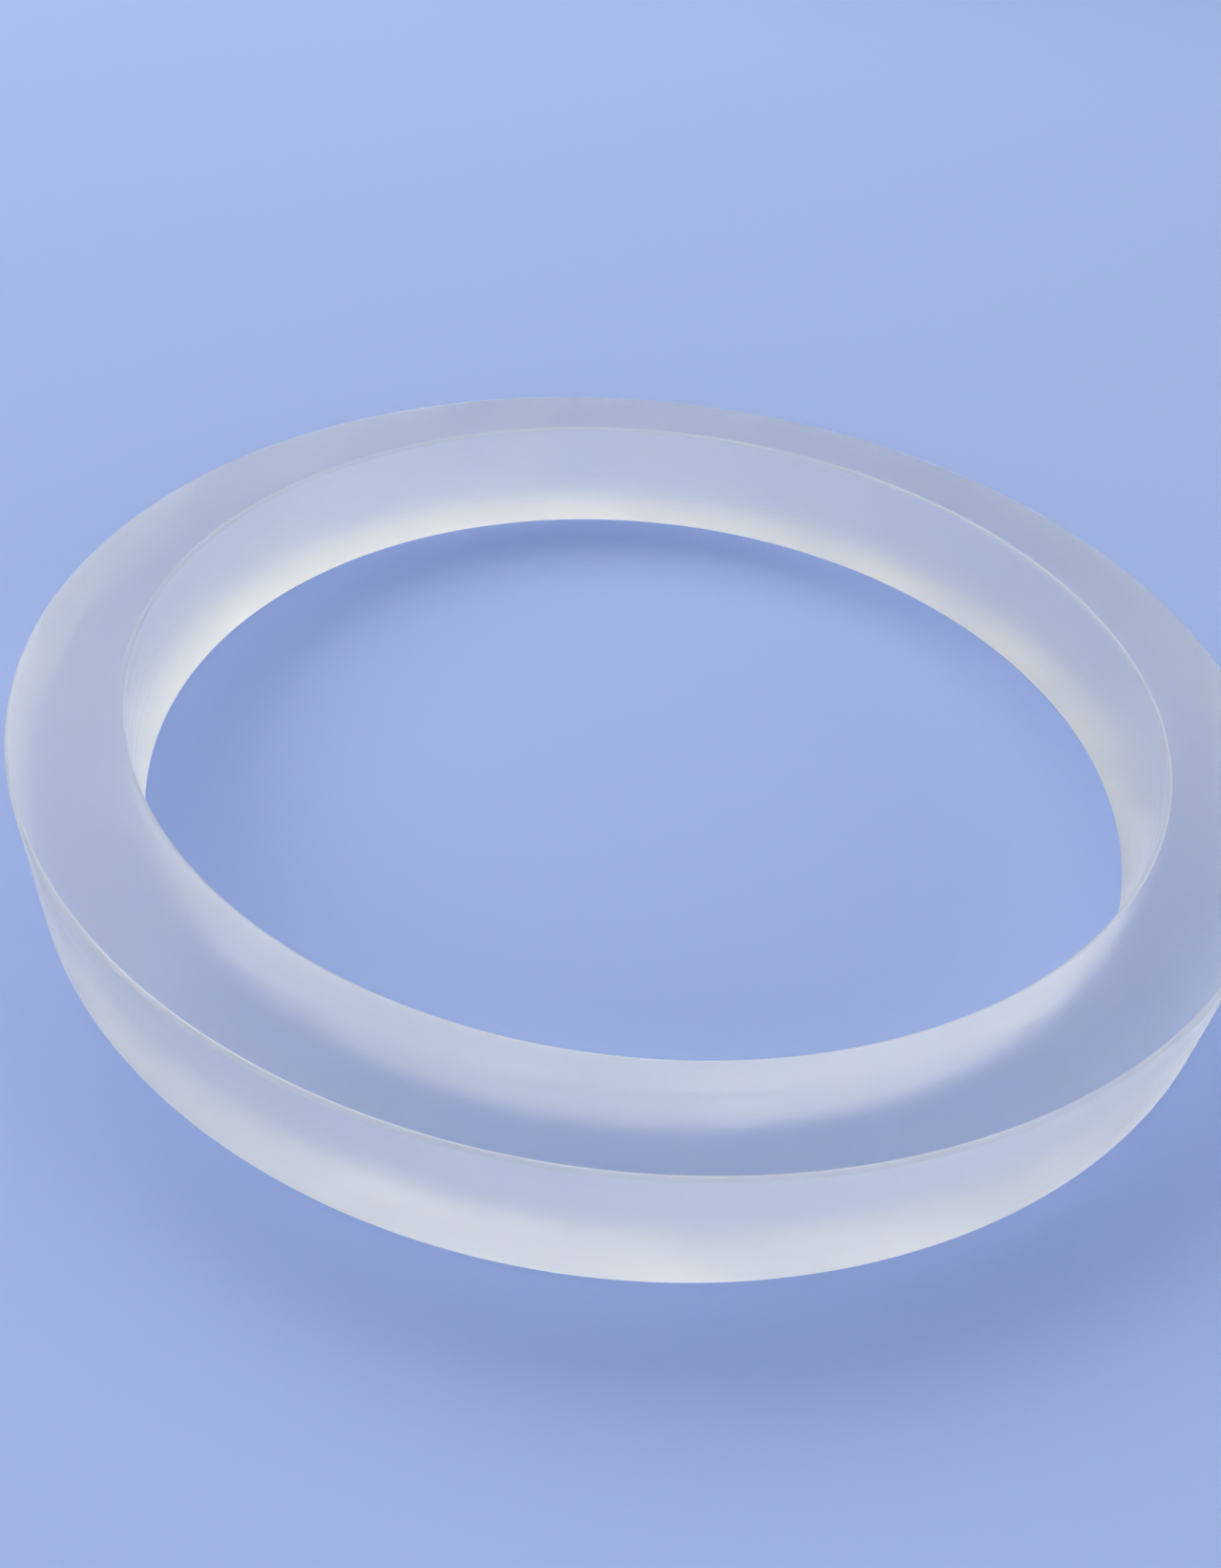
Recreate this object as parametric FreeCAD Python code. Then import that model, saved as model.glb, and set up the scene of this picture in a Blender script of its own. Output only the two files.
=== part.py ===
import FreeCAD
import Part

import os

# Quartz ring: one rectangular-section ring ground from a single blank of fused quartz.
# The origin is the centre of the underside, +Z runs up along the bore's axis. Lengths are in millimetres.

# Driving dimensions
bore_diameter = 301.0
wall_thickness = 29.5     # from the bore out to the rim, along a radius
height = 40.0
bore_edge_chamfer = 1.0   # leg of the 45 degree chamfers on the two edges of the bore
outer_edge_chamfer = 1.0  # leg of the 45 degree chamfers on the two edges of the outer rim

# Radii and turning axis
bore_radius = bore_diameter / 2
outer_radius = bore_radius + wall_thickness
axis_point = FreeCAD.Vector(0, 0, 0)
axis_direction = FreeCAD.Vector(0, 0, 1)
full_turn = 360.0


def ring_section():
    """The ring's cross section on the XZ plane: a rectangle whose four corners are ground to chamfers."""
    corners = [
        (bore_radius + bore_edge_chamfer, 0),
        (outer_radius - outer_edge_chamfer, 0),
        (outer_radius, outer_edge_chamfer),
        (outer_radius, height - outer_edge_chamfer),
        (outer_radius - outer_edge_chamfer, height),
        (bore_radius + bore_edge_chamfer, height),
        (bore_radius, height - bore_edge_chamfer),
        (bore_radius, bore_edge_chamfer),
    ]
    points = [FreeCAD.Vector(radius, 0, level) for radius, level in corners]
    outline = Part.makePolygon(points + points[:1])
    return Part.Face(outline)


def quartz_ring():
    """The whole ring: its section carried once round the axis."""
    return ring_section().revolve(axis_point, axis_direction, full_turn)


os.makedirs("parts", exist_ok=True)
quartz_ring().exportStep("parts/quartz_ring.step")
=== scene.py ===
import math

import bpy
import numpy as np
from mathutils import Matrix, Vector


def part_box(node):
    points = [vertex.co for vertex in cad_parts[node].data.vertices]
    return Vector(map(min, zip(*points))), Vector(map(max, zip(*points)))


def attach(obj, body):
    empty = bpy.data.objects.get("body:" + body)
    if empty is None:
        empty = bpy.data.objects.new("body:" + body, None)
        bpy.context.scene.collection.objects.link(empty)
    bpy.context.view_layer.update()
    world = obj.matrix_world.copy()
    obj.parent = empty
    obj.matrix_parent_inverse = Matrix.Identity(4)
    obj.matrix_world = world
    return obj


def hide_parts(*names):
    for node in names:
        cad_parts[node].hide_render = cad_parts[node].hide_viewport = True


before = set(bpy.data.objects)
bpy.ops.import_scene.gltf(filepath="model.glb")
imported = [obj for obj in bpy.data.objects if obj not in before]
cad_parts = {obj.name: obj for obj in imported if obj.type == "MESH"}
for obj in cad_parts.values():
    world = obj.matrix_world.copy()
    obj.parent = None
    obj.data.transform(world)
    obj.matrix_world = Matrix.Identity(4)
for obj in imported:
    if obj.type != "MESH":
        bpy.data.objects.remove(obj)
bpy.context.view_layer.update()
print("frame loaded")

mm = 0.001  # one millimetre in scene units


# An sRGB hex colour as linear red, green, blue and alpha
def linearColour(hexText):
    values = np.array([int(hexText[i:i + 2], 16) for i in (1, 3, 5)]) / 255
    linear = np.where(values <= 0.04045, values / 12.92, ((values + 0.055) / 1.055) ** 2.4)
    return (*linear.tolist(), 1.0)


# Adds one node: settings are its own properties, links are values or sockets for its inputs, which
# are called by name, or by number where several share a name
def addNode(tree, kind, settings=None, links=None):
    node = tree.nodes.new(kind)
    for name, value in (settings or {}).items():
        setattr(node, name, value)
    for name, value in (links or {}).items():
        if isinstance(value, bpy.types.NodeSocket):
            tree.links.new(value, node.inputs[name])
        else:
            node.inputs[name].default_value = value
    return node


# An empty node material, its tree and its output node
def newMaterial(name):
    material = bpy.data.materials.new(name)
    material.use_nodes = True
    tree = material.node_tree
    tree.nodes.clear()
    return material, tree, addNode(tree, "ShaderNodeOutputMaterial")


# A closed mesh from a grid of points [turn, profile, xyz] that wraps round both ways
def meshFromGrid(name, grid):
    turns, steps = grid.shape[:2]
    index = np.arange(turns * steps).reshape(turns, steps)
    nextTurn = np.roll(index, -1, axis=0)
    corners = (index, nextTurn, np.roll(nextTurn, -1, axis=1), np.roll(index, -1, axis=1))
    quads = np.stack(corners, axis=-1).reshape(-1, 4)
    mesh = bpy.data.meshes.new(name)
    mesh.from_pydata(grid.reshape(-1, 3).tolist(), [], quads.tolist())
    mesh.polygons.foreach_set("use_smooth", np.ones(len(quads), bool))
    mesh.update()
    piece = bpy.data.objects.new(name, mesh)
    bpy.context.scene.collection.objects.link(piece)
    return piece


# Ring
ring = {
    "wall": 29.5 * mm,        # from the bore to the rim
    "chamfer": 1.0 * mm,      # leg of the four chamfers
    "edgeRound": 0.12 * mm,   # how far the lapping eats into each sharp edge
    "roundSteps": 3,
    "holdLoop": 0.5 * mm,     # a loop this far from each edge keeps the faces flat
    "turnSteps": 720,
}


# The section as [point, (radius, level)], run once round. Each corner becomes a short curve:
# start times (1 - s) squared, plus corner times 2s(1 - s), plus end times s squared, where start and
# end lie one edgeRound from the corner along its two sides.
def ringSection(low, high):
    outer = high.x
    inner = outer - ring["wall"]
    cut = ring["chamfer"]
    corners = np.array([
        (inner + cut, low.z), (outer - cut, low.z), (outer, low.z + cut), (outer, high.z - cut),
        (outer - cut, high.z), (inner + cut, high.z), (inner, high.z - cut), (inner, low.z + cut),
    ])
    along = np.roll(corners, -1, axis=0) - corners
    along /= np.linalg.norm(along, axis=1, keepdims=True)
    arriving = np.roll(along, 1, axis=0)
    s = np.linspace(0, 1, ring["roundSteps"] + 1)[None, :, None]
    start = (corners - arriving * ring["edgeRound"])[:, None]
    end = (corners + along * ring["edgeRound"])[:, None]
    rounded = start * (1 - s) ** 2 + corners[:, None] * 2 * s * (1 - s) + end * s ** 2
    before = (corners - arriving * ring["holdLoop"])[:, None]
    after = (corners + along * ring["holdLoop"])[:, None]
    return np.concatenate([before, rounded, after], axis=1).reshape(-1, 2)


# The section carried once round the Z axis: x is radius times the turn's sine, y is minus radius
# times its cosine, and z is the level
def makeRing(section):
    turn = np.linspace(0, 2 * np.pi, ring["turnSteps"], endpoint=False)[:, None]
    radius, level = section[:, 0][None], section[:, 1][None]
    grid = np.stack([radius * np.sin(turn), -radius * np.cos(turn), level + 0 * turn], axis=-1)
    return meshFromGrid("frosted_ring", grid)


# Fused quartz, ground all over and left matt. The eye gets a milky, silky frost: shapes behind it
# show as soft bright and dark bands, light glows out of the walls, and the ground edges are whiter.
quartz = {
    "tint": "#F8FBFC",
    "ior": 1.458,
    "roughness": (0.26, 0.32),   # blur of what shows through, from the clearer to the milkier clouds
    "hazeRoughness": 0.9,        # roughness added where all the light is scattered, less where less is
    "faceHaze": 0.1,             # share of the light that the lapped faces scatter right through
    "boreHaze": 0.42,            # the same on the bore, ground with a coarser wheel
    "rimHaze": 0.25,             # on the rim
    "chamferHaze": 0.7,          # on the chamfers
    "edgeHaze": 0.3,             # and along the edge of each face
    "chamferClear": 0.6,         # share of the light that the chamfers let in, the rest they throw back
    "edgeClear": 0.2,            # the same along the edge of each face
    "cloudHaze": 0.08,           # what the clouds add to the scattered share or take from it
    "layHaze": 0.14,             # the same for the lines round the axis
    "noiseSpan": (0.3, 0.7),     # where nearly all of a noise's values lie
    "cloudSize": 35 * mm,
    "gritSize": 0.5 * mm,        # real grit is near 0.03 mm, drawn coarser so that it shows
    "gritHeight": 0.01 * mm,
    "layPitch": 1.6 * mm,        # grinding lines round the axis, real ones are near 0.1 mm
    "layHeight": 0.01 * mm,
    "layDrift": 0.02,            # how fast the lines come and go along the ring, beside across it
}


# Gives each point of the ring two attributes: haze, how much of the light the grinding there
# scatters, and clear, how much of it goes in. Both follow from the point's depth below the nearer
# face, and from its side of the wall.
def markGrinding(piece, section):
    radius, level = section[:, 0], section[:, 1]
    depth = np.minimum(level - level.min(), level.max() - level)
    onFace = depth < ring["edgeRound"] / 10  # up to the first step of the rounding
    onEdge = (depth < ring["edgeRound"]) & ~onFace
    onChamfer = (depth < ring["chamfer"]) & ~onEdge & ~onFace
    onBore = radius < radius.mean()
    hazes = [quartz[name] for name in ("faceHaze", "edgeHaze", "chamferHaze", "boreHaze")]
    haze = np.select([onFace, onEdge, onChamfer, onBore], hazes, quartz["rimHaze"])
    clear = np.select([onEdge, onChamfer], [quartz["edgeClear"], quartz["chamferClear"]], 1.0)
    for name, values in (("haze", haze), ("clear", clear)):
        layer = piece.data.attributes.new(name, "FLOAT", "POINT")
        layer.data.foreach_set("value", np.tile(values, ring["turnSteps"]).astype(np.float32))


def makeQuartz():
    material, tree, output = newMaterial("fused quartz, ground frost")
    noiseLow, noiseHigh = quartz["noiseSpan"]
    roughLow, roughHigh = quartz["roughness"]
    haze = addNode(tree, "ShaderNodeAttribute", {"attribute_name": "haze"})
    clear = addNode(tree, "ShaderNodeAttribute", {"attribute_name": "clear"})
    place = addNode(tree, "ShaderNodeTexCoord").outputs["Object"]
    # Clouds: the blur changes slowly from place to place, and grows with the haze
    cloud = addNode(tree, "ShaderNodeTexNoise", links={
        "Vector": place, "Scale": 1 / quartz["cloudSize"], "Detail": 3.0})
    rough = addNode(tree, "ShaderNodeMapRange", links={
        "Value": cloud.outputs["Fac"], "From Min": noiseLow, "From Max": noiseHigh,
        "To Min": roughLow, "To Max": roughHigh})
    coarse = addNode(tree, "ShaderNodeMath", {"operation": "MULTIPLY_ADD"}, {
        0: haze.outputs["Fac"], 1: quartz["hazeRoughness"], 2: rough.outputs["Result"]})
    # Lines round the axis: noise over (distance from the axis, level), drifting slowly along the ring
    part = addNode(tree, "ShaderNodeSeparateXYZ", links={"Vector": place})
    flat = addNode(tree, "ShaderNodeCombineXYZ", links={"X": part.outputs["X"], "Y": part.outputs["Y"]})
    radius = addNode(tree, "ShaderNodeVectorMath", {"operation": "LENGTH"}, {
        "Vector": flat.outputs["Vector"]})
    across = addNode(tree, "ShaderNodeCombineXYZ", links={
        "X": radius.outputs["Value"], "Y": part.outputs["Z"]})
    drift = addNode(tree, "ShaderNodeVectorMath", {"operation": "MULTIPLY_ADD"}, {
        0: place, 1: (quartz["layDrift"],) * 3, 2: across.outputs["Vector"]})
    lay = addNode(tree, "ShaderNodeTexNoise", links={
        "Vector": drift.outputs["Vector"], "Scale": 1 / quartz["layPitch"], "Detail": 2.0})
    grit = addNode(tree, "ShaderNodeTexNoise", links={
        "Vector": place, "Scale": 1 / quartz["gritSize"], "Detail": 2.0})
    lines = addNode(tree, "ShaderNodeBump", links={
        "Height": lay.outputs["Fac"], "Distance": quartz["layHeight"]})
    bump = addNode(tree, "ShaderNodeBump", links={
        "Height": grit.outputs["Fac"], "Distance": quartz["gritHeight"],
        "Normal": lines.outputs["Normal"]})
    body = addNode(tree, "ShaderNodeBsdfPrincipled", links={
        "Base Color": linearColour(quartz["tint"]), "IOR": quartz["ior"],
        "Transmission Weight": clear.outputs["Fac"], "Roughness": coarse.outputs["Value"],
        "Normal": bump.outputs["Normal"]})
    frost = addNode(tree, "ShaderNodeBsdfTranslucent", links={
        "Color": linearColour(quartz["tint"]), "Normal": bump.outputs["Normal"]})
    # The scattered share is the haze, more or less in the clouds and in the lines
    amount = haze.outputs["Fac"]
    for noise, share in ((cloud, quartz["cloudHaze"]), (lay, quartz["layHaze"])):
        shift = addNode(tree, "ShaderNodeMapRange", links={
            "Value": noise.outputs["Fac"], "From Min": noiseLow, "From Max": noiseHigh,
            "To Min": -share, "To Max": share})
        total = addNode(tree, "ShaderNodeMath", {"operation": "ADD"}, {
            0: amount, 1: shift.outputs["Result"]})
        amount = total.outputs["Value"]
    both = addNode(tree, "ShaderNodeMixShader", links={
        "Fac": amount, 1: body.outputs["BSDF"], 2: frost.outputs["BSDF"]})
    tree.links.new(both.outputs["Shader"], output.inputs["Surface"])
    return material


# Studio: matt paper under an even sky, with four large soft panels well away from the ring
studio = {
    "floorColour": "#A0B8F6",
    "floorSize": 5.0,
    "floorFade": (1.0, 2.4),   # metres from the ring's axis, from all paper to all backdrop
    "floorGap": 0.2 * mm,      # between the floor and the ring's underside
    "skyColour": "#B9C9FA",
    "skyStrength": 0.25,
    "backdropColour": "#9CB1E0",
    "backdropStrength": 1.0,
    "backdropFade": (8, 20),   # degrees above the horizon, from all backdrop to all sky
    "panelColour": "#FFF4D5",
}

# Each panel stands turn degrees round from the front, counted to the right, rise degrees above the
# floor and far metres from the ring, which it faces
panels = {
    "back": {"turn": 180, "rise": 52, "far": 4.5, "size": (5.0, 2.6), "power": 101.0},
    "left": {"turn": -112, "rise": 40, "far": 4.5, "size": (5.0, 2.6), "power": 134.0},
    "front": {"turn": 0, "rise": 16, "far": 4.5, "size": (8.0, 4.0), "power": 180.0},
    "right": {"turn": 90, "rise": 10, "far": 4.5, "size": (6.0, 3.2), "power": 80.0},
}


def makeFloor():
    half = studio["floorSize"] / 2
    level = -studio["floorGap"]
    fadeStart, fadeEnd = studio["floorFade"]
    mesh = bpy.data.meshes.new("floor")
    corners = [(-half, -half, level), (half, -half, level), (half, half, level), (-half, half, level)]
    mesh.from_pydata(corners, [], [(0, 1, 2, 3)])
    floor = bpy.data.objects.new("floor", mesh)
    bpy.context.scene.collection.objects.link(floor)
    material, tree, output = newMaterial("matt paper")
    paper = addNode(tree, "ShaderNodeBsdfDiffuse", links={"Color": linearColour(studio["floorColour"])})
    # Far out the paper clears, as a studio's sweep that runs up into the backdrop with no horizon
    place = addNode(tree, "ShaderNodeTexCoord").outputs["Object"]
    distance = addNode(tree, "ShaderNodeVectorMath", {"operation": "LENGTH"}, {"Vector": place})
    fade = addNode(tree, "ShaderNodeMapRange", {"interpolation_type": "SMOOTHSTEP"}, {
        "Value": distance.outputs["Value"], "From Min": fadeStart, "From Max": fadeEnd})
    away = addNode(tree, "ShaderNodeBsdfTransparent")
    both = addNode(tree, "ShaderNodeMixShader", links={
        "Fac": fade.outputs["Result"], 1: paper.outputs["BSDF"], 2: away.outputs["BSDF"]})
    tree.links.new(both.outputs["Shader"], output.inputs["Surface"])
    mesh.materials.append(material)


# The lens sees the backdrop all round. Rays that the quartz bends or mirrors see it low down, and the
# sky above it. The backdrop sheds no light of its own on anything.
def makeWorld():
    world = bpy.data.worlds.new("studio")
    world.use_nodes = True
    tree = world.node_tree
    tree.nodes.clear()
    sky = addNode(tree, "ShaderNodeBackground", links={
        "Color": linearColour(studio["skyColour"]), "Strength": studio["skyStrength"]})
    backdrop = addNode(tree, "ShaderNodeBackground", links={
        "Color": linearColour(studio["backdropColour"]), "Strength": studio["backdropStrength"]})
    path = addNode(tree, "ShaderNodeLightPath")
    place = addNode(tree, "ShaderNodeTexCoord").outputs["Generated"]
    part = addNode(tree, "ShaderNodeSeparateXYZ", links={"Vector": place})
    low, high = (math.sin(math.radians(angle)) for angle in studio["backdropFade"])
    fade = addNode(tree, "ShaderNodeMapRange", {"interpolation_type": "SMOOTHSTEP"}, {
        "Value": part.outputs["Z"], "From Min": low, "From Max": high, "To Min": 1.0, "To Max": 0.0})
    amount = path.outputs["Is Glossy Ray"]
    for operation, other in (
            ("MAXIMUM", path.outputs["Is Transmission Ray"]),
            ("MULTIPLY", fade.outputs["Result"]),
            ("MAXIMUM", path.outputs["Is Camera Ray"])):
        step = addNode(tree, "ShaderNodeMath", {"operation": operation}, {0: amount, 1: other})
        amount = step.outputs["Value"]
    both = addNode(tree, "ShaderNodeMixShader", links={
        "Fac": amount, 1: sky.outputs["Background"], 2: backdrop.outputs["Background"]})
    addNode(tree, "ShaderNodeOutputWorld", links={"Surface": both.outputs["Shader"]})
    bpy.context.scene.world = world


def makePanels():
    for name, panel in panels.items():
        light = bpy.data.lights.new(name, "AREA")
        light.shape = "RECTANGLE"
        light.size, light.size_y = panel["size"]
        light.energy = panel["power"]
        light.color = linearColour(studio["panelColour"])[:3]
        holder = bpy.data.objects.new(name, light)
        bpy.context.scene.collection.objects.link(holder)
        turn, rise = math.radians(panel["turn"]), math.radians(panel["rise"])
        reach = math.cos(rise)
        toPanel = Vector((math.sin(turn) * reach, -math.cos(turn) * reach, math.sin(rise)))
        holder.location = toPanel * panel["far"]
        holder.rotation_euler = toPanel.to_track_quat("Z", "Y").to_euler()


# Camera: stands over the near side of the ring and looks down across it
view = {
    "place": (0.0, -0.32226, 0.25913),
    "turn": 1.487,      # degrees to the left of straight ahead
    "tilt": -40.252,    # degrees above the horizon
    "roll": 5.662,      # degrees, the picture's left side down
    "lens": 29.645,     # millimetres
    "nearest": 10 * mm,
}


def makeCamera():
    data = bpy.data.cameras.new("camera")
    data.lens = view["lens"]
    data.clip_start = view["nearest"]
    camera = bpy.data.objects.new("camera", data)
    bpy.context.scene.collection.objects.link(camera)
    turn = Matrix.Rotation(math.radians(view["turn"]), 4, "Z")
    tilt = Matrix.Rotation(math.radians(90 + view["tilt"]), 4, "X")
    roll = Matrix.Rotation(math.radians(view["roll"]), 4, "Z")
    camera.matrix_world = Matrix.Translation(view["place"]) @ turn @ tilt @ roll
    bpy.context.scene.camera = camera
    bpy.context.scene.view_settings.view_transform = "Standard"


section = ringSection(*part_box("quartz_ring"))
frostedRing = makeRing(section)
markGrinding(frostedRing, section)
frostedRing.data.materials.append(makeQuartz())
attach(frostedRing, "root")
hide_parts("quartz_ring")
print("ring made")

makeFloor()
makeWorld()
makePanels()
makeCamera()
print("studio made")
